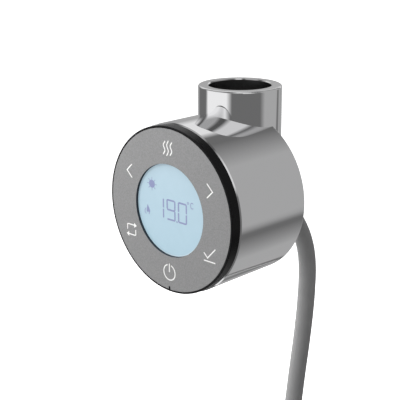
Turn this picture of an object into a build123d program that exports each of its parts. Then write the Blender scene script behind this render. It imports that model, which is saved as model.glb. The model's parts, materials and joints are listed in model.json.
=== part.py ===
from build123d import *
import math
import os

# Electronic control head of a plug-in heating element, as fitted to towel radiators.
# Millimetres. The origin is on the floor of the socket that slides over the element's
# neck, on the socket's axis, which is +Z. The face looks along -Y and +X is to its right.

# ---- driving dimensions -------------------------------------------------------------
DRUM_RADIUS = 32.0          # outside of the chrome drum
FACE_Y = -38.7              # plane of the face
AXIS_Z = -17.7              # height of the drum's axis, which is parallel to Y
DRUM_FRONT = 4.1            # all depths are measured backwards from the face
DRUM_BACK = 39.7
WALL = 2.2
SNUG = 0.05                 # gap between pieces that are pushed together
RUNNING = 0.15              # gap around a piece that slides

COLLAR_RADIUS = 16.05       # outside of the upright tube
BORE_RADIUS = 12.0          # slides over the neck of the heating element
COLLAR_TOP = 24.0
COLLAR_BOTTOM = -41.7
FLOOR = 2.6                 # thickness of the wall under the socket

CAVITY_RADIUS = 29.8        # inside of the drum, in front of the ledge
REAR_CAVITY_RADIUS = 28.4   # and behind it
LEDGE_DEPTH = 22.6
BACK_WALL_DEPTH = DRUM_BACK - WALL

RIM_RADIUS = 31.6           # black ring around the face
PANEL_RADIUS = 30.8
PANEL_THICKNESS = 1.0
WINDOW_RADIUS = 17.6
WEB_BACK = 2.6              # back of the front ring's plate
SPIGOT_RADIUS = 29.5
SPIGOT_BACK = 9.3
SNAP_DEPTH = 7.9            # middle of the snap bead and its groove
SEAL_DEPTH = 5.8            # middle of the ring seal
SEAL_SECTION = 0.74
SEAL_RADIUS = 28.95

KEY_CIRCLE = 23.8
KEY_TRAVEL = 0.3
KEYS = {                    # name and place on the face, in degrees from +X
    "key_heat": 90,
    "key_next": 30,
    "key_confirm": -30,
    "key_power": -90,
    "key_program": -150,
    "key_back": 150,
}

BOARD_RADIUS = 27.2
BOARD_THICKNESS = 1.6
DISPLAY_BOARD_DEPTH = 10.0
POWER_BOARD_DEPTH = 20.0
BOARD_SCREW_CIRCLE = 25.6
BOARD_SCREW_ANGLES = (0, 120, 240)

SET_SCREW_Z = 12.0
SET_SCREW_RADIUS = 2.5      # M5
SET_SCREW_START = 13.1      # inner end of the screw, on +Y
SET_SCREW_LENGTH = 4.0
SET_SCREW_KEY = 2.5         # across the flats of its hexagon socket

CORD_DIAMETER = 7.6
CORD_LENGTH = 1500.0
EXIT_Z = -16.5              # where the cord's axis crosses the back of the tube
EXIT_SLOPE = 48.0           # degrees below the horizontal
EXIT_BOSS = 8.0             # distances along the exit axis: end of the boss,
EXIT_SEAT = 5.0             # face inside it that the boot's flange bears on,
BOOT_TIP = 27.0             # end of the boot
CORD_START = 19.0           # and start of the cord's bare jacket
BOOT_INNER_END = 3.2

COIL_CENTRE = Vector(0, 31.0, -211.0)
COIL_OUTER = 50.1           # radius of the outermost turn's middle line
COIL_LEAD_RADIUS = 48.0     # of the bend that brings the cord onto the coil
COIL_FULL_TURNS = 5
TAIL_LENGTH = 34.0

PLUG_SLEEVE = 24.0          # length of the plug's strain relief
PLUG_BODY = 34.0
PLUG_SHOULDER = 12.0        # the cone that leads from the sleeve to the barrel
PLUG_RADIUS = 17.5
PLUG_END = PLUG_SLEEVE + PLUG_BODY
PIN_RADIUS = 2.4
PIN_ROOT_RADIUS = 1.9       # where the pin is moulded in
PIN_ROOT_DEPTH = 12.0
PIN_ROOT_STAND = 0.3        # how far the slimmer root stands out of the plug
PIN_LENGTH = 19.0
PIN_PITCH = 19.0
PIN_TIP = 2.0
EARTH_HOLE_OFFSET = 9.2

UPWARD = (Align.CENTER, Align.CENTER, Align.MIN)


# ---- placing ------------------------------------------------------------------------
def rod(radius, front, back, x=0.0, z=0.0):
    """Cylinder along +Y between two depths, at x and z from the drum's axis."""
    place = Pos(x, FACE_Y + front, AXIS_Z + z) * Rot(-90, 0, 0)
    return place * Cylinder(radius, back - front, align=UPWARD)


def ring(outer, inner, front, back, x=0.0, z=0.0):
    """Tube along +Y between two depths."""
    return rod(outer, front, back, x, z) - rod(inner, front - 1, back + 1, x, z)


def block(x_range, depth_range, z_range):
    """Box given by its ranges, with x and z from the drum's axis."""
    x0, x1 = x_range
    d0, d1 = depth_range
    z0, z1 = z_range
    centre = Pos((x0 + x1) / 2, FACE_Y + (d0 + d1) / 2, AXIS_Z + (z0 + z1) / 2)
    return centre * Box(x1 - x0, d1 - d0, z1 - z0)


def post(radius, bottom, top, x=0.0, y=0.0):
    """Cylinder along +Z."""
    return Pos(x, y, bottom) * Cylinder(radius, top - bottom, align=UPWARD)


def on_circle(radius, degrees):
    angle = math.radians(degrees)
    return radius * math.cos(angle), radius * math.sin(angle)


def exit_place(distance):
    """Frame on the cord's exit axis, with its z pointing out of the housing."""
    return Pos(0, COLLAR_RADIUS, EXIT_Z) * Rot(-90 - EXIT_SLOPE, 0, 0) * Pos(0, 0, distance)


def exit_rod(radius, start, end):
    return exit_place(start) * Cylinder(radius, end - start, align=UPWARD)


def exit_cone(start_radius, end_radius, start, end):
    return exit_place(start) * Cone(start_radius, end_radius, end - start, align=UPWARD)


def edges_at_depth(part, depth, radius):
    """Circular edges around the drum's axis at one depth and radius."""
    y = FACE_Y + depth
    found = part.edges().filter_by(GeomType.CIRCLE)
    return [e for e in found if abs(e.center().Y - y) < 0.01 and abs(e.radius - radius) < 0.01]


def edges_at_height(part, z, radius):
    """Circular edges around the Z axis at one height and radius."""
    found = part.edges().filter_by(GeomType.CIRCLE)
    return [e for e in found if abs(e.center().Z - z) < 0.01 and abs(e.radius - radius) < 0.01]


def tube(points, radii, section_radius):
    """Round tube along straight runs joined by tangent arcs."""
    path = FilletPolyline(*points, radius=radii)
    section = Plane(origin=path @ 0, z_dir=path % 0) * Circle(section_radius)
    return sweep(section, path=path), path.length


def notch():
    """Lever slot in the bottom of the face, for taking the front off."""
    return block((-0.5, 0.3), (-1.0, 1.6), (-RIM_RADIUS - 1, -29.7))


# ---- housing ------------------------------------------------------------------------
def make_housing():
    drum = rod(DRUM_RADIUS, DRUM_FRONT, DRUM_BACK)
    drum = chamfer(edges_at_depth(drum, DRUM_FRONT, DRUM_RADIUS), 0.4)
    drum = fillet(edges_at_depth(drum, DRUM_BACK, DRUM_RADIUS), 0.6)
    upright = post(COLLAR_RADIUS, COLLAR_BOTTOM, COLLAR_TOP)
    upright = fillet(edges_at_height(upright, COLLAR_TOP, COLLAR_RADIUS), 0.7)
    upright = fillet(edges_at_height(upright, COLLAR_BOTTOM, COLLAR_RADIUS), 6.0)
    boss = exit_rod(8.4, -4.0, EXIT_BOSS)
    boss = fillet(boss.edges().sort_by_distance(exit_place(EXIT_BOSS).position)[0], 0.8)
    body = drum + upright + boss

    socket_wall = post(BORE_RADIUS + 2.4, -FLOOR, COLLAR_TOP)
    front_room = rod(CAVITY_RADIUS, DRUM_FRONT - 1, LEDGE_DEPTH)
    rear_room = rod(REAR_CAVITY_RADIUS, LEDGE_DEPTH, BACK_WALL_DEPTH)
    room = front_room + rear_room - socket_wall
    lower_room = post(COLLAR_RADIUS - WALL, COLLAR_BOTTOM + WALL, -FLOOR)
    snap_groove = rod(CAVITY_RADIUS + 0.4, SNAP_DEPTH - 0.4, SNAP_DEPTH + 0.4)
    body = body - room - lower_room - snap_groove

    bore = post(BORE_RADIUS, 0, COLLAR_TOP + 1)
    mouth = Pos(0, 0, COLLAR_TOP - 0.4) * Cone(BORE_RADIUS, BORE_RADIUS + 0.5, 0.5, align=UPWARD)
    contact_hole = post(8.2, -FLOOR - 1, 1)
    seal_groove = post(11.2, -0.8, 0) - post(9.6, -0.8, 0)
    screw_hole = Pos(0, 9, SET_SCREW_Z) * Rot(-90, 0, 0) * Cylinder(
        SET_SCREW_RADIUS + SNUG, 12, align=UPWARD)
    boot_seat = exit_rod(6.8, -8, EXIT_SEAT)
    boot_hole = exit_rod(5.2, 0, EXIT_BOSS + 1)
    return body - bore - mouth - contact_hole - seal_groove - screw_hole - boot_seat - boot_hole


# ---- front --------------------------------------------------------------------------
def make_front_ring():
    plate = rod(RIM_RADIUS, 0, WEB_BACK)
    plate = fillet(edges_at_depth(plate, 0, RIM_RADIUS), 0.3)
    rim = ring(RIM_RADIUS, 27.6, WEB_BACK, DRUM_FRONT)
    spigot = ring(SPIGOT_RADIUS, 27.6, DRUM_FRONT, SPIGOT_BACK)
    bead = ring(CAVITY_RADIUS + 0.2, 28.5, SNAP_DEPTH - 0.3, SNAP_DEPTH + 0.3)
    part = plate + rim + spigot + bead
    part -= rod(PANEL_RADIUS, -1, PANEL_THICKNESS)
    part -= rod(WINDOW_RADIUS, 0, WEB_BACK + 1)
    part -= ring(SPIGOT_RADIUS + 1, SEAL_RADIUS - SEAL_SECTION - 0.01, SEAL_DEPTH - 0.8, SEAL_DEPTH + 0.8)
    for degrees in KEYS.values():
        x, z = on_circle(KEY_CIRCLE, degrees)
        part -= rod(2.2 + RUNNING, 0, WEB_BACK + 1, x, z)
    return part


def make_front_seal():
    return Pos(0, FACE_Y + SEAL_DEPTH, AXIS_Z) * Rot(-90, 0, 0) * Torus(SEAL_RADIUS, SEAL_SECTION)


def make_face_panel():
    part = ring(PANEL_RADIUS - SNUG, WINDOW_RADIUS, 0, PANEL_THICKNESS)
    for degrees in KEYS.values():
        x, z = on_circle(KEY_CIRCLE, degrees)
        part -= rod(3.2, PANEL_THICKNESS / 2, PANEL_THICKNESS + 1, x, z)
    return part - notch()


def make_display_window():
    pane = rod(WINDOW_RADIUS - 0.1, PANEL_THICKNESS, WEB_BACK)
    flange = rod(19.3, WEB_BACK, 3.7)
    return pane + flange


def make_key(degrees):
    """Plunger that passes the press of the thinned panel on to the switch."""
    x, z = on_circle(KEY_CIRCLE, degrees)
    pin = rod(2.2, PANEL_THICKNESS / 2 + SNUG, WEB_BACK + 0.2, x, z)
    flange = rod(2.9, WEB_BACK + 0.2, WEB_BACK + 0.9, x, z)
    stem = rod(1.6, WEB_BACK + 0.9, 5.35, x, z)
    return pin + flange + stem


# ---- display and electronics ----------------------------------------------------------
def make_lcd_frame():
    return ring(20.6, 19.4, 3.8, DISPLAY_BOARD_DEPTH)


def make_tact_switches():
    switches = []
    for degrees in KEYS.values():
        x, z = on_circle(KEY_CIRCLE, degrees)
        body = Box(5.6, 3.4, 5.6)
        turned = Pos(x, FACE_Y + 8.3, AXIS_Z + z) * Rot(0, -degrees, 0) * body
        switches.append(turned + rod(1.75, 5.7, 6.7, x, z))
    return Compound(children=switches)


def board(depth):
    part = rod(BOARD_RADIUS, depth, depth + BOARD_THICKNESS)
    for degrees in BOARD_SCREW_ANGLES:
        x, z = on_circle(BOARD_SCREW_CIRCLE, degrees)
        part -= rod(1.1, depth - 1, depth + BOARD_THICKNESS + 1, x, z)
    return part


def make_chassis():
    shell = ring(CAVITY_RADIUS - 0.3, 27.5, SPIGOT_BACK, LEDGE_DEPTH)
    front_flange = ring(28.0, 23.6, 11.6, 13.4)
    rear_flange = ring(28.0, 23.6, 18.2, POWER_BOARD_DEPTH)
    part = shell + front_flange + rear_flange
    for degrees in BOARD_SCREW_ANGLES:
        x, z = on_circle(BOARD_SCREW_CIRCLE, degrees)
        part += rod(2.3, 11.6, POWER_BOARD_DEPTH, x, z)
        part -= rod(0.85, 11.0, POWER_BOARD_DEPTH + 1, x, z)
    return part


def make_board_screws():
    """Three screws hold each board to the chassis."""
    screws = []
    for degrees in BOARD_SCREW_ANGLES:
        x, z = on_circle(BOARD_SCREW_CIRCLE, degrees)
        front_head = rod(1.5, DISPLAY_BOARD_DEPTH - 1.2, DISPLAY_BOARD_DEPTH, x, z)
        front_shank = rod(0.8, DISPLAY_BOARD_DEPTH, 15.5, x, z)
        rear = POWER_BOARD_DEPTH + BOARD_THICKNESS
        rear_head = rod(1.5, rear, rear + 1.2, x, z)
        rear_shank = rod(0.8, 16.5, rear, x, z)
        screws += [front_head + front_shank, rear_head + rear_shank]
    return Compound(children=screws)


def make_board_header():
    strip = block((-7, 7), (DISPLAY_BOARD_DEPTH + BOARD_THICKNESS, POWER_BOARD_DEPTH), (-21.4, -18.9))
    return strip


def make_terminal_block():
    rear = POWER_BOARD_DEPTH + BOARD_THICKNESS
    part = block((-11, 11), (rear, rear + 10), (-21, -11))
    for x in (-8.8, 0, 8.8):
        part -= rod(1.5, rear + 7, rear + 11, x, -18.6)
    for x in (-3.6, 3.6):
        for z in (-18.6, -13.4):
            part -= rod(1.2, rear + 7, rear + 11, x, z)
    return part


def make_power_parts():
    """Parts that stand on the power board, each in its own node."""
    rear = POWER_BOARD_DEPTH + BOARD_THICKNESS
    front = POWER_BOARD_DEPTH
    return {
        "relay": block((-23, -7), (rear, rear + 15.2), (-10, 4)),
        "power_supply": block((7, 23), (rear, rear + 13), (-9.5, 7)),
        "film_capacitor": block((-9, 9), (front - 6.5, front), (10, 18)),
        "varistor": rod(5.0, front - 4.2, front, -13, -12),
        "fuse": rod(4.2, front - 7.6, front, 13, -12),
    }


def make_room_sensor():
    rear = POWER_BOARD_DEPTH + BOARD_THICKNESS
    bead = Pos(0, FACE_Y + 33, AXIS_Z - 24.8) * Sphere(1.4)
    return bead + rod(0.3, rear, 33, -0.8, -24.8) + rod(0.3, rear, 33, 0.8, -24.8)


# ---- heating element's socket ---------------------------------------------------------
def contact_places():
    return [(x, y) for x in (-3.6, 3.6) for y in (-3.6, 3.6)]


def make_element_socket():
    part = post(8.0, -12, -0.1) + post(12.5, -5.2, -FLOOR)
    for x, y in contact_places():
        part -= post(1.65, -13, 1, x, y)
    return part


def make_socket_contacts():
    sleeves = []
    for x, y in contact_places():
        sleeves.append(post(1.6, -14, -0.6, x, y) - post(1.05, -10, 1, x, y))
    return Compound(children=sleeves)


def make_seat_seal():
    return post(11.15, -0.75, -0.05) - post(9.65, -0.75, -0.05)


def make_heater_leads():
    """From the socket's contacts down to the terminal block."""
    rear_y = FACE_Y + POWER_BOARD_DEPTH + BOARD_THICKNESS + 7.2
    leads = []
    for x, y in contact_places():
        drop = AXIS_Z + (-13.4 if y < 0 else -18.6)
        points = [(x, y, -14), (x, y, drop + 0.5), (x, rear_y, drop)]
        lead, _ = tube(points, 3.0, 0.8)
        leads.append(lead)
    return Compound(children=leads)


def make_supply_leads():
    """Three cores, from the inner end of the boot to the terminal block."""
    rear_y = FACE_Y + POWER_BOARD_DEPTH + BOARD_THICKNESS + 7.2
    boot_end = exit_place(BOOT_INNER_END).position
    bend = exit_place(BOOT_INNER_END - 4.5).position
    leads = []
    for side in (-1, 0, 1):
        points = [
            (side * 2.3, boot_end.Y, boot_end.Z),
            (side * 2.3, bend.Y, bend.Z),
            (side * 6.0, 8.0, -24.0),
            (side * 8.8, 4.5, AXIS_Z - 18.6),
            (side * 8.8, rear_y, AXIS_Z - 18.6),
        ]
        lead, _ = tube(points, [1.2, 4.0, 4.0], 0.9)
        leads.append(lead)
    return Compound(children=leads)


# ---- set screw ------------------------------------------------------------------------
def make_set_screw():
    place = Pos(0, SET_SCREW_START, SET_SCREW_Z) * Rot(-90, 0, 0)
    body = Cylinder(SET_SCREW_RADIUS, SET_SCREW_LENGTH, align=UPWARD)
    body = chamfer(body.edges().filter_by(GeomType.CIRCLE), 0.35)
    hexagon = RegularPolygon(SET_SCREW_KEY / 2, 6, major_radius=False)
    recess = Pos(0, 0, SET_SCREW_LENGTH - 2.2) * extrude(hexagon, 3)
    return place * (body - recess)


def make_set_screw_pad():
    length = SET_SCREW_START - BORE_RADIUS - 0.06
    place = Pos(0, BORE_RADIUS + 0.06, SET_SCREW_Z) * Rot(-90, 0, 0)
    return place * Cylinder(2.0, length, align=UPWARD)


# ---- cord -----------------------------------------------------------------------------
def make_cord_boot():
    """Moulded on the cord and snapped into the boss; it lies open where the cord leaves it."""
    flange = exit_rod(6.5, BOOT_INNER_END, EXIT_SEAT)
    neck = exit_rod(5.15, EXIT_SEAT, EXIT_BOSS)
    shoulder = exit_rod(6.8, EXIT_BOSS, EXIT_BOSS + 1.8)
    taper = exit_cone(6.2, 4.8, EXIT_BOSS + 1.8, BOOT_TIP)
    cord_hole = exit_rod(CORD_DIAMETER / 2 + SNUG, CORD_START, BOOT_TIP + 1)
    return flange + neck + shoulder + taper - cord_hole


def coil_facts():
    """Where the cord joins the coil, in degrees, the number of turns and the inner radius."""
    reach = COIL_LEAD_RADIUS + COIL_OUTER
    lead_turn = math.degrees(math.acos(COIL_LEAD_RADIUS / reach))
    turns = COIL_FULL_TURNS + lead_turn / 360
    inner = COIL_OUTER - CORD_DIAMETER * turns / 2
    return lead_turn, turns, inner


def coil_length():
    """A double spiral, which winds in on one side and out again on the other."""
    _, turns, inner = coil_facts()
    return math.tau * (turns * inner + CORD_DIAMETER * turns ** 2 / 4)


def cord_route():
    """Corners of the cord from its boot to the coil."""
    start = exit_place(CORD_START).position
    first_bend = exit_place(CORD_START + 15).position
    lead_turn, _, _ = coil_facts()
    back_y = COIL_CENTRE.Y + CORD_DIAMETER / 2
    top = COIL_CENTRE.Z + (COIL_LEAD_RADIUS + COIL_OUTER) * math.sin(math.radians(lead_turn))
    half = COIL_LEAD_RADIUS * math.tan(math.radians(lead_turn / 4))
    quarter = math.radians(lead_turn / 2)
    onto = Vector(0, back_y + 0.8, top - half)
    along = onto + Vector(-2 * half * math.sin(quarter), 0, -2 * half * math.cos(quarter))
    along.Y = back_y + 0.3
    join = along + Vector(-math.sin(2 * quarter), 0, -math.cos(2 * quarter)) * (half * 1.9)
    join.Y = back_y
    return [
        start,
        first_bend,
        Vector(0, 45.2, -57.6),
        Vector(0, 44.9, -76.5),
        Vector(0, 42.6, -94.5),
        Vector(0, 39.0, -114.5),
        onto,
        along,
        join,
    ]


def bend_radii(points):
    """The largest arc that each corner's two runs have room for."""
    radii = []
    for before, corner, after in zip(points, points[1:], points[2:]):
        run_in = corner - before
        run_out = after - corner
        half_turn = math.radians(run_in.get_angle(run_out) / 2)
        radii.append(0.45 * min(run_in.length, run_out.length) / math.tan(half_turn))
    return radii


def make_coil():
    """Outer shape of the wound length, hanging upright with its axis along Y."""
    _, _, inner = coil_facts()
    half_cord = CORD_DIAMETER / 2
    place = Pos(COIL_CENTRE.X, COIL_CENTRE.Y, COIL_CENTRE.Z) * Rot(-90, 0, 0)
    body = Cylinder(COIL_OUTER + half_cord, 2 * CORD_DIAMETER)
    hole = Cylinder(inner - half_cord, 2 * CORD_DIAMETER + 2)
    part = fillet((body - hole).edges().filter_by(GeomType.CIRCLE), 2.6)
    return place * part


def make_supply_cord(coil):
    points = cord_route()
    radii = bend_radii(points)
    part, length = tube(points, radii, CORD_DIAMETER / 2)
    print("cord radii", [round(radius, 1) for radius in radii])
    print("cord tube volume over section x length",
          round(part.volume / (math.pi * CORD_DIAMETER ** 2 / 4 * length), 4))
    return part - coil, length


def tail_place():
    return Pos(-COIL_OUTER, COIL_CENTRE.Y - CORD_DIAMETER / 2, COIL_CENTRE.Z)


def make_cord_tail(coil):
    part = Pos(0, 0, -TAIL_LENGTH) * Cylinder(CORD_DIAMETER / 2, TAIL_LENGTH, align=UPWARD)
    return tail_place() * part - coil


def make_cord_tie():
    """Strap round the coil's turns at the top."""
    _, _, inner = coil_facts()
    half_cord = CORD_DIAMETER / 2
    low = COIL_CENTRE.Z + inner - half_cord - 0.7
    high = COIL_CENTRE.Z + COIL_OUTER + half_cord + 0.3
    middle = Pos(0, COIL_CENTRE.Y, (low + high) / 2) * Rot(0, 90, 0)
    hole = RectangleRounded(high - low, 2 * CORD_DIAMETER + 0.6, 2.4)
    strap = RectangleRounded(high - low + 2.4, 2 * CORD_DIAMETER + 3.0, 3.4)
    return middle * extrude(strap - hole, 4, both=True)


# ---- mains plug -----------------------------------------------------------------------
def plug_place(distance):
    """Frame on the plug's axis, with its z pointing down, from the end of the cord."""
    return tail_place() * Pos(0, 0, -TAIL_LENGTH - distance) * Rot(180, 0, 0)


def plug_post(radius, start, end, x=0.0, y=0.0):
    return plug_place(start) * Pos(x, y, 0) * Cylinder(radius, end - start, align=UPWARD)


def make_plug_sleeve():
    return plug_place(0) * Cone(4.6, 6.6, PLUG_SLEEVE, align=UPWARD)


def make_plug_body():
    neck = plug_place(PLUG_SLEEVE) * Cone(8.0, PLUG_RADIUS, PLUG_SHOULDER, align=UPWARD)
    part = neck + plug_post(PLUG_RADIUS, PLUG_SLEEVE + PLUG_SHOULDER, PLUG_END)
    for x in (-PIN_PITCH / 2, PIN_PITCH / 2):
        part -= plug_post(PIN_ROOT_RADIUS + SNUG, PLUG_END - PIN_ROOT_DEPTH, PLUG_END + 1, x)
    for side in (-1, 1):
        part -= plug_place(PLUG_END - 15) * Pos(0, side * PLUG_RADIUS, 7.5) * Box(6.2, 3.4, 17)
    return part - plug_post(2.9, PLUG_END - 16, PLUG_END + 1, 0, EARTH_HOLE_OFFSET)


def make_plug_pin(x):
    root_end = PLUG_END + PIN_ROOT_STAND
    tip_start = PLUG_END + PIN_LENGTH - PIN_TIP
    root = plug_post(PIN_ROOT_RADIUS, PLUG_END - PIN_ROOT_DEPTH, root_end, x)
    shank = plug_post(PIN_RADIUS, root_end, tip_start, x)
    tip = plug_place(tip_start) * Pos(x, 0, 0) * Cone(PIN_RADIUS, 1.4, PIN_TIP, align=UPWARD)
    return root + shank + tip


def make_plug_pins():
    return Compound(children=[make_plug_pin(x) for x in (-PIN_PITCH / 2, PIN_PITCH / 2)])


def make_plug_earth_clips():
    """Spring strips let into both sides of the plug."""
    clips = []
    for side in (-1, 1):
        place = plug_place(PLUG_END - 15) * Pos(0, side * (PLUG_RADIUS - 1.2), 7.4)
        clips.append(place * Box(5.6, 0.8, 14.5))
    return Compound(children=clips)


# ---- all nodes ------------------------------------------------------------------------
def make_nodes():
    nodes = {
        "housing": make_housing(),
        "front_ring": make_front_ring(),
        "front_seal": make_front_seal(),
        "face_panel": make_face_panel(),
        "display_window": make_display_window(),
        "lcd_panel": rod(19.2, 3.7, 5.9),
        "backlight_diffuser": rod(19.2, 5.9, 8.7),
        "lcd_frame": make_lcd_frame(),
        "tact_switches": make_tact_switches(),
        "display_board": board(DISPLAY_BOARD_DEPTH),
        "controller_chip": block((-5, 5), (11.6, 12.8), (-5, 5)),
        "board_header": make_board_header(),
        "chassis": make_chassis(),
        "board_screws": make_board_screws(),
        "power_board": board(POWER_BOARD_DEPTH),
        "terminal_block": make_terminal_block(),
        "room_sensor": make_room_sensor(),
        "element_socket": make_element_socket(),
        "socket_contacts": make_socket_contacts(),
        "seat_seal": make_seat_seal(),
        "heater_leads": make_heater_leads(),
        "supply_leads": make_supply_leads(),
        "set_screw": make_set_screw(),
        "set_screw_pad": make_set_screw_pad(),
        "cord_boot": make_cord_boot(),
    }
    nodes.update(make_power_parts())
    for name, degrees in KEYS.items():
        nodes[name] = make_key(degrees)

    coil = make_coil()
    supply_cord, hanging_length = make_supply_cord(coil)
    nodes["supply_cord"] = supply_cord
    nodes["cord_coil"] = coil
    nodes["cord_tail"] = make_cord_tail(coil)
    nodes["cord_tie"] = make_cord_tie()
    nodes["plug_sleeve"] = make_plug_sleeve()
    nodes["plug_body"] = make_plug_body()
    nodes["plug_pins"] = make_plug_pins()
    nodes["plug_earth_clips"] = make_plug_earth_clips()
    print("cord length", round(hanging_length + coil_length() + TAIL_LENGTH), "of", CORD_LENGTH)
    print("coil turns and inner radius", [round(value, 3) for value in coil_facts()[1:]])
    return nodes


def main():
    os.makedirs("parts", exist_ok=True)
    for name, shape in make_nodes().items():
        export_step(shape, f"parts/{name}.step")


main()
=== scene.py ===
import json
import math

import bmesh
import bpy
from mathutils import Matrix, Vector


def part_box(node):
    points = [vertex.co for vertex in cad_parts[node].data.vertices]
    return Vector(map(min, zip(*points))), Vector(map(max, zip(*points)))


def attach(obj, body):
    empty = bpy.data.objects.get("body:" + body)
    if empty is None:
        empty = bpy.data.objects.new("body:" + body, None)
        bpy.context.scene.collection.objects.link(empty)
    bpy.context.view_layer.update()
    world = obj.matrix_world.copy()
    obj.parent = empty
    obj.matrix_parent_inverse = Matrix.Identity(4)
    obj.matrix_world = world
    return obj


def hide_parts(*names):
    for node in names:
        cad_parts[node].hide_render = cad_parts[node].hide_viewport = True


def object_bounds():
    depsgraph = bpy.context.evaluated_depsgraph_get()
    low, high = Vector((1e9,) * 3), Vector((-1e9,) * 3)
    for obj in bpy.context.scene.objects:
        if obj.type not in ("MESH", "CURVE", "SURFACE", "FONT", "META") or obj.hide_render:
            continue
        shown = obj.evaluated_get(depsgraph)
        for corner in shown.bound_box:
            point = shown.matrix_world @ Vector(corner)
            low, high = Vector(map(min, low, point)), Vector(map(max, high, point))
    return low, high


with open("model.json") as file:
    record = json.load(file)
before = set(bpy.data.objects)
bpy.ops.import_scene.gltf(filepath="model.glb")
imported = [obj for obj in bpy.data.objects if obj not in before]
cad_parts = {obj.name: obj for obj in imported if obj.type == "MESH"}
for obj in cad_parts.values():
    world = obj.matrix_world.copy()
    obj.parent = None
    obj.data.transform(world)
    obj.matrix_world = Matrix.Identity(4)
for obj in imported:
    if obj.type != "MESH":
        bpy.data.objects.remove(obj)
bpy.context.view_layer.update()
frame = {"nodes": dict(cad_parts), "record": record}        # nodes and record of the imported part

# Metres, in the part's own frame: +Z up the socket's axis, the face looks along -Y.
MM = 0.001
CREASE_ANGLE = math.radians(35)
nodes = frame["nodes"]

# ---- places worked out from the frame -------------------------------------------------
FACE_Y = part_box("face_panel")[0][1]
RIM_LOW, RIM_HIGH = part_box("front_ring")
AXIS_Z = (RIM_LOW[2] + RIM_HIGH[2]) / 2
WINDOW_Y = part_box("display_window")[0][1]
BORE_RADIUS = 12.0 * MM
SKIN = 0.03 * MM            # how far past a wall a material still counts as on it
WINDOW_RADIUS = 17.6 * MM
NOTCH_TOP = 29.6 * MM       # how far below the drum's axis the lever notch starts
NOTCH_X = -0.1 * MM
NOTCH_HALF_WIDTH = 0.42 * MM

# ---- camera ---------------------------------------------------------------------------
CAMERA_TARGET = Vector((-1.7, -20.4, -17.9)) * MM
CAMERA_AZIMUTH = 44.2
CAMERA_ELEVATION = 16.9
CAMERA_ROLL = -0.3
CAMERA_DISTANCE = 376.5 * MM
CAMERA_LENS = 89.2          # on a 36 mm sensor

# ---- cord -----------------------------------------------------------------------------
CORD_DIAMETER = 7.6 * MM
EXIT_POINT = Vector((0, 16.05, -16.5)) * MM
EXIT_SLOPE = math.radians(48)
EXIT_DIRECTION = Vector((0, math.cos(EXIT_SLOPE), -math.sin(EXIT_SLOPE)))
BOOT_START = 8.0 * MM
BOOT_TIP = 27.0 * MM
CORD_START = 19.0 * MM
COIL_CENTRE = Vector((0, 31.0, -211.0)) * MM
COIL_OUTER = 50.1 * MM
COIL_LEAD_RADIUS = 48.0 * MM
COIL_FULL_TURNS = 5
COIL_POINTS = 20            # control points in each turn
COIL_CROSSING = 0.14        # turns over which the cord goes from the rear to the front side
TAIL_LENGTH = 34.0 * MM
PLUG_SLEEVE = 24.0 * MM

# ---- printed symbols, with places in millimetres from the drum's axis --------------------
ICON_STROKE = 0.45
SEGMENT_STROKE = 0.66
SYMBOL_SIDE = (20.9, 11.6)  # middles of the symbols
SYMBOL_CONFIRM = (20.7, -12.0)
SYMBOL_PROGRAM = (-20.5, -11.8)
SYMBOL_POWER = (0, -24)
HEAT_MIDDLE = 23.6
HEAT_PITCH = 1.75
FIGURE_TOP = 3.8
FIGURE_BOTTOM = -3.6
PRINT_ROOT = 0.01 * MM      # how far a print reaches into what it stands on
PRINT_THICKNESS = 0.02 * MM
PRINT_STEP = 0.004 * MM     # each further stroke stands this much higher

STAGE_RADIUS = 6.0
STAGE_GAP = 0.02            # from the lowest point of the part to the floor

# ---- studio ------------------------------------------------------------------------------
ROOM_LEVEL = 0.4            # of the studio between its panels
# Soft boxes and flags that the chrome reflects. Each has the angles, in degrees, where it
# starts to show, is whole, starts to fade and is gone, and then its level.
PANELS_BEHIND = (           # from +X towards +Z, for directions that lead away behind
    (-130, -122, -118, -110, 0.2),
    (-80, -45, -40, -30, 0.15),
    (55, 95, 108, 112, 0.15),
    (112, 118, 150, 165, 0.8),
)
PANELS_HIGH = (             # from +X towards +Y, for directions that rise to the front
    (-175, -165, -160, -150, 0.1),
    (-110, -95, -80, -70, 0.1),
    (-70, -60, -10, 0, 0.7),
    (0, 10, 80, 130, 0.15),
    (130, 140, 190, 200, 0.7),
)
PANELS_AROUND = (           # from +X towards +Y, for all others
    (-200, -190, -155, -150, 0.15),
    (-150, -145, -85, -75, 0.9),
    (-75, -70, 20, 80, 0.15),
    (140, 160, 190, 200, 0.15),
)


# ---- small helpers --------------------------------------------------------------------
def mesh_object(name, bm, smooth_angle=None):
    """New object from a bmesh, smooth-shaded but for edges over the angle in degrees."""
    bmesh.ops.recalc_face_normals(bm, faces=bm.faces)
    mesh = bpy.data.meshes.new(name)
    bm.to_mesh(mesh)
    bm.free()
    if smooth_angle is not None:
        mesh.shade_smooth()
        mesh.set_sharp_from_angle(angle=math.radians(smooth_angle))
    obj = bpy.data.objects.new(name, mesh)
    bpy.context.scene.collection.objects.link(obj)
    return obj


def axis_matrix(origin, direction):
    """Frame at origin with its z along direction."""
    return Matrix.Translation(origin) @ direction.to_track_quat("Z", "Y").to_matrix().to_4x4()


def lathe(name, profile, place, sides=72):
    """Closed surface turned from (radius, distance) pairs about the place's z axis."""
    bm = bmesh.new()
    rings = []
    for radius, distance in profile:
        ring = []
        for k in range(sides):
            angle = math.tau * k / sides
            point = Vector((radius * math.cos(angle), radius * math.sin(angle), distance))
            ring.append(bm.verts.new(place @ point))
        rings.append(ring)
    for lower, upper in zip(rings, rings[1:]):
        for k in range(sides):
            j = (k + 1) % sides
            bm.faces.new((lower[k], lower[j], upper[j], upper[k]))
    bm.faces.new(rings[0])
    bm.faces.new(rings[-1])
    return mesh_object(name, bm, 32)


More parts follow.
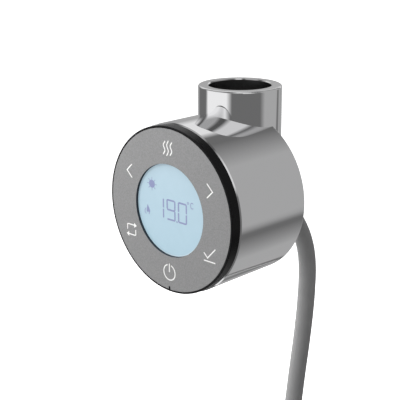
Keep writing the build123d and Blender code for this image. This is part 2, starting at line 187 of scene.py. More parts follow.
def make_crease_group():
    """Geometry nodes that mark the edges over CREASE_ANGLE as sharp."""
    group = bpy.data.node_groups.new("creases", "GeometryNodeTree")
    group.interface.new_socket("Geometry", in_out="INPUT", socket_type="NodeSocketGeometry")
    group.interface.new_socket("Geometry", in_out="OUTPUT", socket_type="NodeSocketGeometry")
    source = group.nodes.new("NodeGroupInput")
    target = group.nodes.new("NodeGroupOutput")
    angle = group.nodes.new("GeometryNodeInputMeshEdgeAngle")
    compare = group.nodes.new("FunctionNodeCompare")
    compare.operation = "GREATER_THAN"
    compare.inputs["B"].default_value = CREASE_ANGLE
    shade = group.nodes.new("GeometryNodeSetShadeSmooth")
    shade.domain = "EDGE"
    shade.inputs["Shade Smooth"].default_value = False
    group.links.new(angle.outputs["Unsigned Angle"], compare.inputs["A"])
    group.links.new(compare.outputs["Result"], shade.inputs["Selection"])
    group.links.new(source.outputs[0], shade.inputs[0])
    group.links.new(shade.outputs[0], target.inputs[0])
    return group


def crisp_shading(obj, group):
    """Even highlights on turned faces, with creases kept where faces meet at an angle."""
    marks = obj.modifiers.new("creases", "NODES")
    marks.node_group = group
    weights = obj.modifiers.new("weighted_normals", "WEIGHTED_NORMAL")
    weights.keep_sharp = True


def set_material(obj, material):
    obj.data.materials.clear()
    obj.data.materials.append(material)


# ---- materials ------------------------------------------------------------------------
class Surface:
    """A Principled material with short ways to add grain, wear and variation."""

    def __init__(self, name, color, roughness, metallic=0.0, **inputs):
        self.material = bpy.data.materials.new(name)
        self.material.use_nodes = True
        self.tree = self.material.node_tree
        self.shader = self.tree.nodes["Principled BSDF"]
        self.coordinates = self.tree.nodes.new("ShaderNodeTexCoord")
        self.color = tuple(color)
        self.shader.inputs["Base Color"].default_value = (*color, 1)
        self.shader.inputs["Roughness"].default_value = roughness
        self.shader.inputs["Metallic"].default_value = metallic
        for key, value in inputs.items():
            self.shader.inputs[key.replace("_", " ")].default_value = value
        self.height = None

    def node(self, kind, **settings):
        made = self.tree.nodes.new(kind)
        for key, value in settings.items():
            setattr(made, key, value)
        return made

    def link(self, source, target):
        self.tree.links.new(source, target)

    def noise(self, size, detail=3.0, stretch=(1, 1, 1)):
        """Noise whose features are about size metres across."""
        mapping = self.node("ShaderNodeMapping")
        mapping.inputs["Scale"].default_value = stretch
        texture = self.node("ShaderNodeTexNoise")
        texture.inputs["Scale"].default_value = 1.0 / size
        texture.inputs["Detail"].default_value = detail
        self.link(self.coordinates.outputs["Object"], mapping.inputs["Vector"])
        self.link(mapping.outputs["Vector"], texture.inputs["Vector"])
        return texture.outputs["Fac"]

    def spread(self, value, low, high, start=0.3, end=0.7):
        """Maps start..end of a value to low..high."""
        ranger = self.node("ShaderNodeMapRange")
        ranger.inputs["From Min"].default_value = start
        ranger.inputs["From Max"].default_value = end
        ranger.inputs["To Min"].default_value = low
        ranger.inputs["To Max"].default_value = high
        self.link(value, ranger.inputs["Value"])
        return ranger.outputs["Result"]

    def vary_roughness(self, size, low, high, stretch=(1, 1, 1)):
        value = self.spread(self.noise(size, stretch=stretch), low, high)
        self.link(value, self.shader.inputs["Roughness"])
        return self

    def vary_color(self, size, other, amount=1.0, detail=3.0, start=0.35, end=0.65):
        """Blends towards another colour where the noise is high."""
        mix = self.node("ShaderNodeMix", data_type="RGBA")
        mix.inputs["A"].default_value = (*self.color, 1)
        mix.inputs["B"].default_value = (*other, 1)
        share = self.spread(self.noise(size, detail), 0, amount, start, end)
        self.link(share, mix.inputs["Factor"])
        self.link(mix.outputs["Result"], self.shader.inputs["Base Color"])
        self.blend = mix
        return self

    def bump(self, size, depth, detail=2.0, stretch=(1, 1, 1)):
        """Relief of about depth metres."""
        bump = self.node("ShaderNodeBump")
        bump.inputs["Distance"].default_value = depth
        self.link(self.noise(size, detail, stretch), bump.inputs["Height"])
        if self.height is not None:
            self.link(self.height.outputs["Normal"], bump.inputs["Normal"])
        self.link(bump.outputs["Normal"], self.shader.inputs["Normal"])
        self.height = bump
        return self


def math_node(surface, operation, first, second=None):
    made = surface.node("ShaderNodeMath", operation=operation)
    for socket, value in zip(made.inputs, (first, second)):
        if isinstance(value, (int, float)):
            socket.default_value = value
        elif value is not None:
            surface.link(value, socket)
    return made.outputs["Value"]


def drum_coordinates(surface):
    """x, z and radius from the drum's axis at the shaded point."""
    split = surface.node("ShaderNodeSeparateXYZ")
    surface.link(surface.coordinates.outputs["Object"], split.inputs["Vector"])
    x = split.outputs["X"]
    z = math_node(surface, "SUBTRACT", split.outputs["Z"], AXIS_Z)
    squares = math_node(surface, "ADD", math_node(surface, "MULTIPLY", x, x),
                        math_node(surface, "MULTIPLY", z, z))
    return x, z, math_node(surface, "SQRT", squares)


def make_chrome():
    """Bright plating outside; inside the bore the colour is darker and the surface rougher."""
    surface = Surface("chrome", (0.90, 0.90, 0.91), 0.05, 1.0)
    split = surface.node("ShaderNodeSeparateXYZ")
    surface.link(surface.coordinates.outputs["Object"], split.inputs["Vector"])
    x_part = math_node(surface, "MULTIPLY", split.outputs["X"], split.outputs["X"])
    y_part = math_node(surface, "MULTIPLY", split.outputs["Y"], split.outputs["Y"])
    radius = math_node(surface, "SQRT", math_node(surface, "ADD", x_part, y_part))
    inside = math_node(surface, "LESS_THAN", radius, BORE_RADIUS + SKIN)
    in_bore = math_node(surface, "MULTIPLY", inside,
                        math_node(surface, "GREATER_THAN", split.outputs["Z"], -1 * MM))
    color = surface.node("ShaderNodeMix", data_type="RGBA")
    color.inputs["A"].default_value = (0.90, 0.90, 0.91, 1)
    color.inputs["B"].default_value = (0.20, 0.20, 0.203, 1)
    surface.link(in_bore, color.inputs["Factor"])
    surface.link(color.outputs["Result"], surface.shader.inputs["Base Color"])
    haze = surface.spread(surface.noise(9 * MM, 5), 0.02, 0.05)
    roughness = math_node(surface, "ADD", haze, math_node(surface, "MULTIPLY", in_bore, 0.3))
    surface.link(roughness, surface.shader.inputs["Roughness"])
    surface.bump(14 * MM, 0.004 * MM)
    return surface.material


def make_black_plastic():
    surface = Surface("black_plastic", (0.006, 0.006, 0.0065), 0.25, Specular_IOR_Level=0.12)
    surface.vary_roughness(3 * MM, 0.2, 0.32)
    return surface.bump(0.25 * MM, 0.004 * MM).material


def make_panel_grey():
    """Sprayed grey with fine metallic speckle; the display opening's inner wall and the lever notch carry painted
    shade, coloured near-black.
    """
    surface = Surface("panel_grey", (0.205, 0.205, 0.207), 0.5)
    speckled = surface.vary_color(0.35 * MM, (0.265, 0.265, 0.267), 0.8, detail=1.5)
    x, z, radius = drum_coordinates(surface)
    # Painted shade: the inner wall of the display opening and the inside of the lever notch are masked here and
    # coloured near-black navy, as the shade that falls in them.
    window_wall = math_node(surface, "LESS_THAN", radius, WINDOW_RADIUS + 0.02 * MM)
    off_centre = math_node(surface, "ABSOLUTE", math_node(surface, "ADD", x, -NOTCH_X))
    beside = math_node(surface, "LESS_THAN", off_centre, NOTCH_HALF_WIDTH)
    below = math_node(surface, "LESS_THAN", z, -NOTCH_TOP)
    in_notch = math_node(surface, "MULTIPLY", beside, below)
    painted_recess_shade = math_node(surface, "MAXIMUM", window_wall, in_notch)
    mix = surface.node("ShaderNodeMix", data_type="RGBA")
    mix.inputs["B"].default_value = (0.006, 0.012, 0.022, 1)
    surface.link(painted_recess_shade, mix.inputs["Factor"])
    surface.link(speckled.blend.outputs["Result"], mix.inputs["A"])
    surface.link(mix.outputs["Result"], surface.shader.inputs["Base Color"])
    surface.vary_roughness(0.5 * MM, 0.44, 0.6)
    return surface.bump(0.18 * MM, 0.006 * MM).material


def make_print_white():
    surface = Surface("print_white", (0.84, 0.84, 0.83), 0.45)
    surface.vary_color(0.2 * MM, (0.78, 0.78, 0.77), 0.6)
    return surface.bump(0.12 * MM, 0.002 * MM).material


def make_display():
    """Pale blue pane that glows, partly as its backlight and partly as painted light that fills the shadow the
    face casts on it: deeper towards the bottom, with a painted highlight along its lower right edge.
    """
    # Painted light: the emission is partly the backlight and partly light painted in over the face's shadow.
    surface = Surface("display", (0.20, 0.27, 0.31), 0.16, Emission_Strength=0.50)
    x, z, radius = drum_coordinates(surface)
    glow = surface.node("ShaderNodeMix", data_type="RGBA")
    glow.inputs["A"].default_value = (0.42, 0.62, 0.74, 1)
    glow.inputs["B"].default_value = (0.49, 0.64, 0.74, 1)
    surface.link(surface.spread(z, 0, 1, -WINDOW_RADIUS, WINDOW_RADIUS), glow.inputs["Factor"])
    # Painted highlight: a pale rim inside the lower right edge of the pane.
    rim = surface.spread(radius, 0, 1, WINDOW_RADIUS - 0.7 * MM, WINDOW_RADIUS - 0.15 * MM)
    side = surface.spread(math_node(surface, "SUBTRACT", x, z), 0, 0.75, 0, WINDOW_RADIUS)
    painted_edge_highlight = surface.node("ShaderNodeMix", data_type="RGBA")
    painted_edge_highlight.inputs["B"].default_value = (0.86, 0.93, 0.98, 1)
    surface.link(math_node(surface, "MULTIPLY", rim, side), painted_edge_highlight.inputs["Factor"])
    surface.link(glow.outputs["Result"], painted_edge_highlight.inputs["A"])
    surface.link(painted_edge_highlight.outputs["Result"], surface.shader.inputs["Emission Color"])
    surface.vary_color(3 * MM, (0.22, 0.29, 0.33), 0.5)
    surface.vary_roughness(6 * MM, 0.12, 0.2)
    return surface.bump(4 * MM, 0.001 * MM).material


def make_segment_print():
    surface = Surface("segment_print", (0.11, 0.12, 0.19), 0.3, Emission_Strength=0.5)
    surface.shader.inputs["Emission Color"].default_value = (0.28, 0.32, 0.56, 1)
    surface.vary_color(0.4 * MM, (0.13, 0.14, 0.22), 0.5)
    return surface.bump(0.3 * MM, 0.001 * MM).material


def make_cord_jacket():
    """Matte grey PVC with the faint lengthwise drag marks of extrusion."""
    surface = Surface("cord_jacket", (0.31, 0.31, 0.312), 0.4)
    surface.vary_color(5 * MM, (0.34, 0.34, 0.342), 0.6)
    surface.vary_roughness(2 * MM, 0.34, 0.46)
    return surface.bump(0.5 * MM, 0.01 * MM).material


def plain(name, color, roughness, other=None, grain=0.4, depth=0.006, metallic=0.0, scatter=0.06):
    """Moulded or turned finish with grain, a second tone and uneven gloss."""
    surface = Surface(name, color, roughness, metallic)
    if other is not None:
        surface.vary_color(grain * 6 * MM, other, 0.7)
    surface.vary_roughness(grain * 8 * MM, roughness - scatter, roughness + scatter)
    return surface.bump(grain * MM, depth * MM).material


def make_strap():
    """Woven hook-and-loop tape."""
    surface = Surface("strap", (0.02, 0.02, 0.022), 0.85)
    surface.vary_color(0.5 * MM, (0.045, 0.045, 0.05), 1.0)
    surface.bump(0.35 * MM, 0.12 * MM, stretch=(1, 2.2, 1))
    return surface.bump(0.9 * MM, 0.08 * MM, stretch=(2.2, 1, 1)).material


def make_board():
    surface = Surface("board", (0.015, 0.10, 0.045), 0.35)
    surface.vary_color(1.6 * MM, (0.02, 0.14, 0.06), 1.0, detail=0.0, start=0.49, end=0.51)
    surface.vary_roughness(2 * MM, 0.28, 0.42)
    return surface.bump(1.6 * MM, 0.02 * MM, detail=0.0).material


MATERIALS = {
    "chrome": make_chrome(),
    "black_plastic": make_black_plastic(),
    "panel_grey": make_panel_grey(),
    "window": make_display(),
    "lcd": plain("lcd", (0.30, 0.42, 0.48), 0.1, (0.32, 0.45, 0.5), 1.0, 0.001, scatter=0.03),
    "diffuser": plain("diffuser", (0.75, 0.77, 0.78), 0.5, (0.7, 0.72, 0.73)),
    "white_plastic": plain("white_plastic", (0.62, 0.62, 0.60), 0.45, (0.56, 0.56, 0.54)),
    "key_plastic": plain("key_plastic", (0.32, 0.32, 0.33), 0.5, (0.28, 0.28, 0.29)),
    "board": make_board(),
    "component": plain("component", (0.02, 0.02, 0.022), 0.5, (0.035, 0.035, 0.038)),
    "relay_case": plain("relay_case", (0.02, 0.07, 0.24), 0.35, (0.025, 0.08, 0.27)),
    "supply_case": plain("supply_case", (0.05, 0.05, 0.05), 0.4, (0.07, 0.07, 0.07)),
    "capacitor_case": plain("capacitor_case", (0.60, 0.46, 0.06), 0.4, (0.55, 0.42, 0.06)),
    "varistor_case": plain("varistor_case", (0.02, 0.06, 0.20), 0.45, (0.03, 0.08, 0.24)),
    "terminal_green": plain("terminal_green", (0.03, 0.22, 0.09), 0.45, (0.03, 0.18, 0.08)),
    "brass": plain("brass", (0.72, 0.53, 0.22), 0.28, (0.62, 0.44, 0.18), metallic=1.0),
    "steel": plain("steel", (0.56, 0.56, 0.56), 0.32, (0.48, 0.48, 0.48), metallic=1.0),
    "black_steel": plain("black_steel", (0.07, 0.07, 0.075), 0.4, (0.11, 0.10, 0.10), metallic=1.0),
    "rubber": plain("rubber", (0.02, 0.02, 0.02), 0.7, (0.03, 0.03, 0.03), depth=0.012),
    "lead_brown": plain("lead_brown", (0.13, 0.05, 0.02), 0.5, (0.16, 0.07, 0.03)),
    "cord_grey": make_cord_jacket(),
    "tie": make_strap(),
    "pin_brass": plain("pin_brass", (0.78, 0.74, 0.62), 0.22, (0.70, 0.66, 0.55), metallic=1.0),
}
PRINT_WHITE = make_print_white()
SEGMENT_PRINT = make_segment_print()


def dress_cad_nodes():
    """Each CAD node takes the material of its slot."""
    creases = make_crease_group()
    for part in frame["record"]["subparts"]:
        set_material(nodes[part["node"]], MATERIALS[part["material_slot"]])
        crisp_shading(nodes[part["node"]], creases)


# ---- cord, coil and what is on it -------------------------------------------------------
def along_exit(distance):
    return EXIT_POINT + EXIT_DIRECTION * distance


def coil_facts():
    """Angle at which the cord meets the coil, its turns and its inner radius."""
    lead = math.acos(COIL_LEAD_RADIUS / (COIL_LEAD_RADIUS + COIL_OUTER))
    turns = COIL_FULL_TURNS + lead / math.tau
    inner = COIL_OUTER - CORD_DIAMETER * turns / 2
    return lead, turns, inner


def hanging_points():
    """The hanging stretch's corners, as in the CAD model."""
    lead, _, _ = coil_facts()
    back_y = COIL_CENTRE.y + CORD_DIAMETER / 2
    top = COIL_CENTRE.z + (COIL_LEAD_RADIUS + COIL_OUTER) * math.sin(lead)
    half = COIL_LEAD_RADIUS * math.tan(lead / 4)
    onto = Vector((0, back_y + 0.8 * MM, top - half))
    along = Vector((-2 * half * math.sin(lead / 2), back_y + 0.3 * MM,
                    onto.z - 2 * half * math.cos(lead / 2)))
    return [
        along_exit(CORD_START),
        along_exit(CORD_START + 15 * MM),
        Vector((0, 45.2, -57.6)) * MM,
        Vector((0, 44.9, -76.5)) * MM,
        Vector((0, 42.6, -94.5)) * MM,
        Vector((0, 39.0, -114.5)) * MM,
        onto,
        along,
    ]


def coil_points():
    """Double spiral: in on the rear side, across at the middle turn, out on the front side."""
    lead, turns, inner = coil_facts()
    count = round(turns * COIL_POINTS)
    outset = 1 / math.cos(math.pi * turns / count)
    points = []
    for k in range(1, count + 1):
        turn = turns * k / count
        angle = math.pi - lead + math.tau * turn
        radius = (inner + CORD_DIAMETER * abs(turn - turns / 2)) * outset
        crossing = max(-1, min(1, (turn - turns / 2) / COIL_CROSSING))
        depth = -CORD_DIAMETER / 2 * math.sin(crossing * math.pi / 2)
        offset = Vector((radius * math.cos(angle), depth, radius * math.sin(angle)))
        points.append(COIL_CENTRE + offset)
    return points


def tail_points():
    """Straight down from the outermost turn to the plug."""
    return [tail_point(distance) for distance in (9 * MM, 22 * MM, TAIL_LENGTH)]


def tail_point(distance):
    """Point below the coil's leftmost side, on its front column of turns."""
    return COIL_CENTRE + Vector((-COIL_OUTER, -CORD_DIAMETER / 2, -distance))


def make_cord():
    """The whole lead: hanging stretch, coil and tail on one smooth line."""
    points = hanging_points() + coil_points() + tail_points()
    curve = bpy.data.curves.new("power_cord", "CURVE")
    curve.dimensions = "3D"
    spline = curve.splines.new("NURBS")
    spline.points.add(len(points) - 1)
    for control, point in zip(spline.points, points):
        control.co = (*point, 1)
    spline.order_u = 3
    spline.use_endpoint_u = True
    spline.resolution_u = 8
    curve.bevel_depth = CORD_DIAMETER / 2
    curve.bevel_resolution = 8
    curve.use_fill_caps = True
    cord = bpy.data.objects.new("power_cord", curve)
    bpy.context.scene.collection.objects.link(cord)
    set_material(cord, MATERIALS["cord_grey"])
    return cord


def ribbed_profile(stations, ribs):
    """Profile through (radius, distance) stations with shallow grooves at the rib places."""
    profile = list(stations)
    for place, radius in ribs:
        profile += [
            (radius, place - 0.9 * MM),
            (radius - 0.55 * MM, place - 0.6 * MM),
            (radius - 0.55 * MM, place + 0.2 * MM),
            (radius - 0.05 * MM, place + 0.5 * MM),
        ]
    return sorted(profile, key=lambda pair: pair[1])


def make_boot():
    """Tapered strain relief, moulded round the cord, seated in the housing's boss."""
    def taper(distance):
        share = (distance - BOOT_START - 2.2 * MM) / (BOOT_TIP - 0.6 * MM - BOOT_START - 2.2 * MM)
        return (6.15 - 1.35 * share) * MM

    head = [
        (3.6 * MM, 3.3 * MM),
        (6.3 * MM, 3.3 * MM),
        (6.45 * MM, 3.6 * MM),
        (6.45 * MM, 4.9 * MM),
        (5.1 * MM, 5.0 * MM),
        (5.1 * MM, BOOT_START - 0.02 * MM),
        (6.5 * MM, BOOT_START + 0.02 * MM),
        (6.75 * MM, BOOT_START + 0.25 * MM),
        (6.75 * MM, BOOT_START + 1.3 * MM),
        (6.45 * MM, BOOT_START + 1.75 * MM),
        (6.15 * MM, BOOT_START + 1.9 * MM),
    ]
    ribs = [(d * MM, taper(d * MM)) for d in (13.0, 16.0, 19.0, 22.0)]
    tip = [
        (taper(25.0 * MM), 25.0 * MM),
        (4.78 * MM, BOOT_TIP - 0.5 * MM),
        (4.55 * MM, BOOT_TIP - 0.1 * MM),
        (4.2 * MM, BOOT_TIP),
        (3.7 * MM, BOOT_TIP),
    ]
    profile = ribbed_profile(head + tip, ribs)
    boot = lathe("cord_strain_relief", profile, axis_matrix(EXIT_POINT, EXIT_DIRECTION))
    set_material(boot, MATERIALS["cord_grey"])
    return boot


def make_plug_relief():
    """Ribbed sleeve between the cord and the plug."""
    def taper(distance):
        return (4.6 + 2.0 * distance / PLUG_SLEEVE) * MM

    head = [
        (3.7 * MM, 0.0),
        (4.3 * MM, 0.0),
        (4.6 * MM, 0.35 * MM),
        (4.65 * MM, 1.2 * MM),
    ]
    ribs = [(d * MM, taper(d * MM)) for d in (3.5, 6.5, 9.5, 12.5, 15.5)]
    foot = [
        (taper(17.5 * MM), 17.5 * MM),
        (6.55 * MM, PLUG_SLEEVE - 0.02 * MM),
    ]
    place = axis_matrix(tail_point(TAIL_LENGTH), Vector((0, 0, -1)))
    sleeve = lathe("plug_strain_relief", ribbed_profile(head + foot, ribs), place)
    set_material(sleeve, MATERIALS["cord_grey"])
    return sleeve


def dress_cord():
    cord = make_cord()
    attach(cord, "root")
    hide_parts("supply_cord", "cord_coil", "cord_tail")
    boot = make_boot()
    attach(boot, "root")
    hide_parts("cord_boot")
    sleeve = make_plug_relief()
    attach(sleeve, "root")
    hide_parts("plug_sleeve")


# ---- printed symbols ------------------------------------------------------------------
def on_face(x, z, plane):
    """Point on a plane parallel to the face, from millimetres right of and above the axis."""
    return Vector((x * MM, plane, AXIS_Z + z * MM))


def ribbon(bm, points, width, plane, thickness):
    """Flat band along the points, with mitred corners and round ends, as one closed prism."""
    half = width / 2
    path = [Vector(point) for point in points]
    left = []
    right = []
    for k, point in enumerate(path):
        before = (point - path[max(k - 1, 0)]).normalized()
        after = (path[min(k + 1, len(path) - 1)] - point).normalized()
        along = (before + after).normalized()
        reach = half / max(0.35, along.dot(after if k == 0 else before))
        side = Vector((-along.y, along.x)) * reach
        left.append(point + side)
        right.append(point - side)
    first = path[1] - path[0]
    last = path[-1] - path[-2]
    end_heading = math.degrees(math.atan2(last.y, last.x))
    start_heading = math.degrees(math.atan2(-first.y, -first.x))
    end_cap = arc(path[-1], half, end_heading - 80, end_heading + 80, 6)
    start_cap = arc(path[0], half, start_heading - 80, start_heading + 80, 6)
    outline = [tuple(point) for point in right] + end_cap
    outline += [tuple(point) for point in left[::-1]] + start_cap
    plate(bm, outline, plane, thickness)


def loop_band(bm, centre, radius, width, plane, thickness, sides=32):
    """Flat ring, as one closed solid."""
    rows = []
    for reach, depth in ((radius - width / 2, PRINT_ROOT), (radius + width / 2, PRINT_ROOT),
                         (radius + width / 2, -thickness), (radius - width / 2, -thickness)):
        rows.append([bm.verts.new(on_face(x, z, plane + depth))
                     for x, z in arc(centre, reach, 0, 360 - 360 / sides, sides - 1)])
    for row, following in zip(rows, rows[1:] + rows[:1]):
        for k in range(sides):
            j = (k + 1) % sides
            bm.faces.new((row[k], row[j], following[j], following[k]))


def plate(bm, outline, plane, thickness):
    """Thin closed prism over an outline, standing proud of a plane towards -Y."""
    low = [bm.verts.new(on_face(x, z, plane + PRINT_ROOT)) for x, z in outline]
    high = [bm.verts.new(on_face(x, z, plane - thickness)) for x, z in outline]
    bm.faces.new(low)
    bm.faces.new(high[::-1])
    for k in range(len(outline)):
        j = (k + 1) % len(outline)
        bm.faces.new((low[k], low[j], high[j], high[k]))


def print_object(name, bm, material):
    piece = mesh_object(name, bm)
    set_material(piece, material)
    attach(piece, "root")
    return piece


def face_strokes(name, strokes, filled=()):
    """White print on the face: strokes as lists of points, and filled outlines."""
    bm = bmesh.new()
    for level, points in enumerate(strokes):
        ribbon(bm, points, ICON_STROKE, FACE_Y, PRINT_THICKNESS + level * PRINT_STEP)
    for outline in filled:
        plate(bm, outline, FACE_Y, PRINT_THICKNESS - PRINT_STEP)
    return print_object(name, bm, PRINT_WHITE)


def arc(centre, radius, start, end, count=24):
    """Points round a circle from one angle in degrees to another."""
    points = []
    for k in range(count + 1):
        angle = math.radians(start + (end - start) * k / count)
        points.append((centre[0] + radius * math.cos(angle), centre[1] + radius * math.sin(angle)))
    return points


def heat_wave(x, bottom, top):
    """One rising wave of warm air, one and a quarter periods long."""
    points = []
    for k in range(29):
        share = k / 28
        sway = 0.42 * math.sin(math.tau * 1.25 * share - 0.8)
        points.append((x + sway + 0.2 * share, bottom + (top - bottom) * share))
    return points


def placed(points, centre, turn=1):
    """Points about a centre; a turn of -1 gives the shape turned half round."""
    return [(centre[0] + turn * x, centre[1] + turn * z) for x, z in points]


def make_face_prints():
    face_strokes("symbol_heat", [
        heat_wave(HEAT_PITCH * column - 0.15, HEAT_MIDDLE - reach, HEAT_MIDDLE + reach)
        for column, reach in ((-1, 2.35), (0, 2.7), (1, 2.35))
    ])
    chevron = [(-1.3, 2.5), (1.3, 0), (-1.3, -2.5)]
    face_strokes("symbol_next", [placed(chevron, SYMBOL_SIDE)])
    face_strokes("symbol_back", [placed(chevron, (-SYMBOL_SIDE[0], SYMBOL_SIDE[1]), -1)])
    tick = [(-2.7, 0.3), (-1.0, -1.3), (2.7, 2.6)]
    underline = [(-2.6, -2.5), (2.6, -2.5)]
    face_strokes("symbol_confirm", [
        placed(shape, SYMBOL_CONFIRM) for shape in (tick, underline)
    ])
    face_strokes("symbol_power", [
        arc(SYMBOL_POWER, 3.0, 112, 428, 40),
        [(0, -20.7), (0, -23.7)],
    ])
    loop = [(-2.3, -0.1), (-2.3, 1.7), (-1.9, 2.0), (1.5, 2.0)]
    head = [(1.5, 3.0), (2.9, 2.0), (1.5, 1.0)]
    face_strokes(
        "symbol_program",
        [placed(loop, SYMBOL_PROGRAM, turn) for turn in (1, -1)],
        filled=[placed(head, SYMBOL_PROGRAM, turn) for turn in (1, -1)],
    )


# ---- what the display shows -------------------------------------------------------------
def segment(bm, start, end, thickness):
    ribbon(bm, [start, end], SEGMENT_STROKE, WINDOW_Y, thickness)


def digit(bm, left, right, lit):
    """Seven-segment figure; lit names its segments, a to g clockwise from the top."""
    top, bottom = FIGURE_TOP, FIGURE_BOTTOM
    middle = (top + bottom) / 2
    corner = 0.30
    split = SEGMENT_STROKE / 2 + 0.18
    ends = {
        "a": ((left + corner, top), (right - corner, top)),
        "b": ((right, top - corner), (right, middle + split)),
        "c": ((right, middle - split), (right, bottom + corner)),
        "d": ((left + corner, bottom), (right - corner, bottom)),
        "e": ((left, middle - split), (left, bottom + corner)),
        "f": ((left, top - corner), (left, middle + split)),
        "g": ((left + corner, middle), (right - corner, middle)),
    }
    for place, name in enumerate(lit):
        segment(bm, *ends[name], PRINT_THICKNESS + place * PRINT_STEP)


def display_object(name, bm):
    return print_object(name, bm, SEGMENT_PRINT)


def make_reading():
    """19.0 degrees in seven-segment figures."""
    bm = bmesh.new()
    digit(bm, -3.7, -3.7, "bc")
    digit(bm, -1.7, 2.3, "abcdfg")
    digit(bm, 4.2, 8.2, "abcdef")
    plate(bm, arc((3.35, -3.75), 0.36, 0, 345, 23), WINDOW_Y, PRINT_THICKNESS)
    display_object("display_digits", bm)
    bm = bmesh.new()
    loop_band(bm, (9.1, 4.6), 0.36, 0.26, WINDOW_Y, PRINT_THICKNESS)
    letter = [(11.15 + 0.75 * across, 4.0 + 1.1 * up) for across, up in arc((0, 0), 1, 50, 310, 16)]
    ribbon(bm, letter, 0.34, WINDOW_Y, PRINT_THICKNESS)
    display_object("display_unit", bm)


def make_display_sun():
    bm = bmesh.new()
    centre = (-9.7, 8.3)
    plate(bm, arc(centre, 1.55, 0, 352.5, 47), WINDOW_Y, PRINT_THICKNESS)
    for k in range(8):
        across, up = math.cos(math.tau * k / 8), math.sin(math.tau * k / 8)
        ray = [(centre[0] + reach * across, centre[1] + reach * up) for reach in (1.75, 2.45)]
        ribbon(bm, ray, 0.26, WINDOW_Y, PRINT_THICKNESS)
    display_object("display_sun", bm)


def make_display_flame():
    """Flame with a smaller tongue beside it, placed from its tip."""
    tip = (-12.3, -0.1)
    body = [(0, 0), (0.8, -1.2), (1.4, -2.4), (0.9, -3.8), (0.5, -3.9), (0.7, -3.2), (0.1, -2.7),
            (-0.3, -3.5), (-0.6, -2.7), (-0.4, -1.5)]
    tongue = [(-1.0, -1.8), (-1.5, -2.7), (-1.4, -3.4), (-0.9, -3.9)]
    bm = bmesh.new()
    plate(bm, [(tip[0] + x, tip[1] + z) for x, z in body], WINDOW_Y, PRINT_THICKNESS)
    ribbon(bm, [(tip[0] + x, tip[1] + z) for x, z in tongue], 0.32, WINDOW_Y, PRINT_THICKNESS)
    display_object("display_flame", bm)


# ---- surroundings -----------------------------------------------------------------------
def direction_angle(tree, across, up):
    """Angle of a pair of direction components, as 0 to 1 for -180 to 180 degrees."""
    turn = tree.nodes.new("ShaderNodeMath")
    turn.operation = "ARCTAN2"
    tree.links.new(up, turn.inputs[0])
    tree.links.new(across, turn.inputs[1])
    share = tree.nodes.new("ShaderNodeMapRange")
    share.inputs["From Min"].default_value = -math.pi
    share.inputs["From Max"].default_value = math.pi
    tree.links.new(turn.outputs[0], share.inputs["Value"])
    return share.outputs["Result"]


def panel_ramp(tree, angle, panels):
    """Level by angle: the room's own, with each panel blended in and out."""
    stops = []
    for start, whole, fading, gone, level in panels:
        stops += [(start, ROOM_LEVEL), (whole, level), (fading, level), (gone, ROOM_LEVEL)]
    ramp = tree.nodes.new("ShaderNodeValToRGB")
    elements = ramp.color_ramp.elements
    for k, (degrees, level) in enumerate(stop for stop in stops if abs(stop[0]) <= 180):
        place = (degrees + 180) / 360
        element = elements[k] if k < 2 else elements.new(place)
        element.position = place
        element.color = (level, level, level, 1)
    tree.links.new(angle, ramp.inputs["Fac"])
    return ramp.outputs["Color"]


def blend_by(tree, value, start, end, low, high):
    """Goes from the low colour to the high one as value goes from start to end."""
    share = tree.nodes.new("ShaderNodeMapRange")
    share.inputs["From Min"].default_value = start
    share.inputs["From Max"].default_value = end
    tree.links.new(value, share.inputs["Value"])
    mix = tree.nodes.new("ShaderNodeMix")
    mix.data_type = "RGBA"
    tree.links.new(share.outputs["Result"], mix.inputs["Factor"])
    tree.links.new(low, mix.inputs["A"])
    tree.links.new(high, mix.inputs["B"])
    return mix.outputs["Result"]


def make_world():
    """Studio of soft boxes and dark flags that the chrome reflects, given by direction."""
    world = bpy.data.worlds.new("studio")
    bpy.context.scene.world = world
    world.use_nodes = True
    tree = world.node_tree
    coordinates = tree.nodes.new("ShaderNodeTexCoord")
    split = tree.nodes.new("ShaderNodeSeparateXYZ")
    tree.links.new(coordinates.outputs["Generated"], split.inputs["Vector"])
    behind = panel_ramp(tree, direction_angle(tree, split.outputs["X"], split.outputs["Z"]),
                       PANELS_BEHIND)
    heading = direction_angle(tree, split.outputs["X"], split.outputs["Y"])
    around = panel_ramp(tree, heading, PANELS_AROUND)
    high = panel_ramp(tree, heading, PANELS_HIGH)
    front = blend_by(tree, split.outputs["Z"], 0.18, 0.36, around, high)
    whole = blend_by(tree, split.outputs["Y"], 0.15, 0.40, front, behind)
    tree.links.new(whole, tree.nodes["Background"].inputs["Color"])


def stage_piece(name, bm):
    """Part of the surroundings: seen by the camera, but kept out of the chrome and the light."""
    piece = mesh_object(name, bm)
    surface = Surface(name, (0.9, 0.9, 0.9), 0.9, Emission_Strength=1.1)
    surface.shader.inputs["Emission Color"].default_value = (0.9, 0.9, 0.9, 1)
    surface.vary_color(0.4, (0.88, 0.88, 0.88), 0.5)
    set_material(piece, surface.material)
    piece.visible_glossy = False
    piece.visible_diffuse = False
    piece.visible_shadow = False


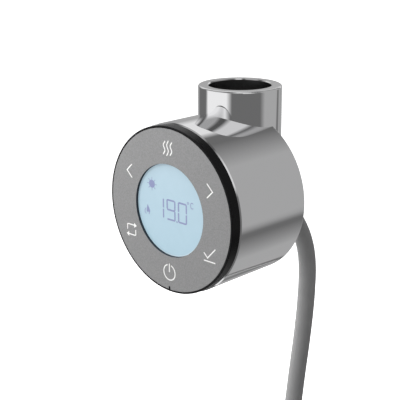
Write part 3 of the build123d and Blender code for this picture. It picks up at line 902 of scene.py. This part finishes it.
def make_stage():
    """Plain pale floor that the hanging plug clears, inside a pale dome."""
    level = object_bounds()[0][2] - STAGE_GAP
    bm = bmesh.new()
    corners = [bm.verts.new((x * STAGE_RADIUS, y * STAGE_RADIUS, level))
               for x, y in ((-1, -1), (1, -1), (1, 1), (-1, 1))]
    bm.faces.new(corners)
    stage_piece("floor", bm)
    bm = bmesh.new()
    bmesh.ops.create_uvsphere(bm, u_segments=48, v_segments=24, radius=STAGE_RADIUS)
    stage_piece("backdrop", bm)


def soft_light(name, place, size, power, target=Vector((0, 0, -0.02))):
    light = bpy.data.lights.new(name, "AREA")
    light.shape = "DISK"
    light.size = size
    light.energy = power
    obj = bpy.data.objects.new(name, light)
    obj.location = place
    obj.rotation_euler = (target - Vector(place)).to_track_quat("-Z", "Y").to_euler()
    obj.visible_glossy = False
    bpy.context.scene.collection.objects.link(obj)


def make_camera():
    azimuth = math.radians(CAMERA_AZIMUTH)
    elevation = math.radians(CAMERA_ELEVATION)
    back = Vector((
        math.cos(elevation) * math.sin(azimuth),
        -math.cos(elevation) * math.cos(azimuth),
        math.sin(elevation),
    ))
    camera = bpy.data.cameras.new("camera")
    camera.lens = CAMERA_LENS
    camera.sensor_width = 36.0
    camera.clip_start = 0.01
    obj = bpy.data.objects.new("camera", camera)
    obj.location = CAMERA_TARGET + back * CAMERA_DISTANCE
    facing = back.to_track_quat("Z", "Y")
    roll = Matrix.Rotation(math.radians(CAMERA_ROLL), 4, "Z")
    obj.matrix_world = Matrix.Translation(obj.location) @ facing.to_matrix().to_4x4() @ roll
    bpy.context.scene.collection.objects.link(obj)
    bpy.context.scene.camera = obj


make_camera()
dress_cad_nodes()
dress_cord()
make_face_prints()
make_reading()
make_display_sun()
make_display_flame()
make_stage()
make_world()
soft_light("top_light", (0.05, -0.35, 0.75), 0.5, 4.0)
soft_light("front_light", (-0.13, -0.21, 0.12), 0.12, 0.48)
soft_light("side_light", (-0.75, -0.06, -0.05), 0.4, 5.6, Vector((0, 0.04, -0.08)))
bpy.context.scene.view_settings.view_transform = "Standard"
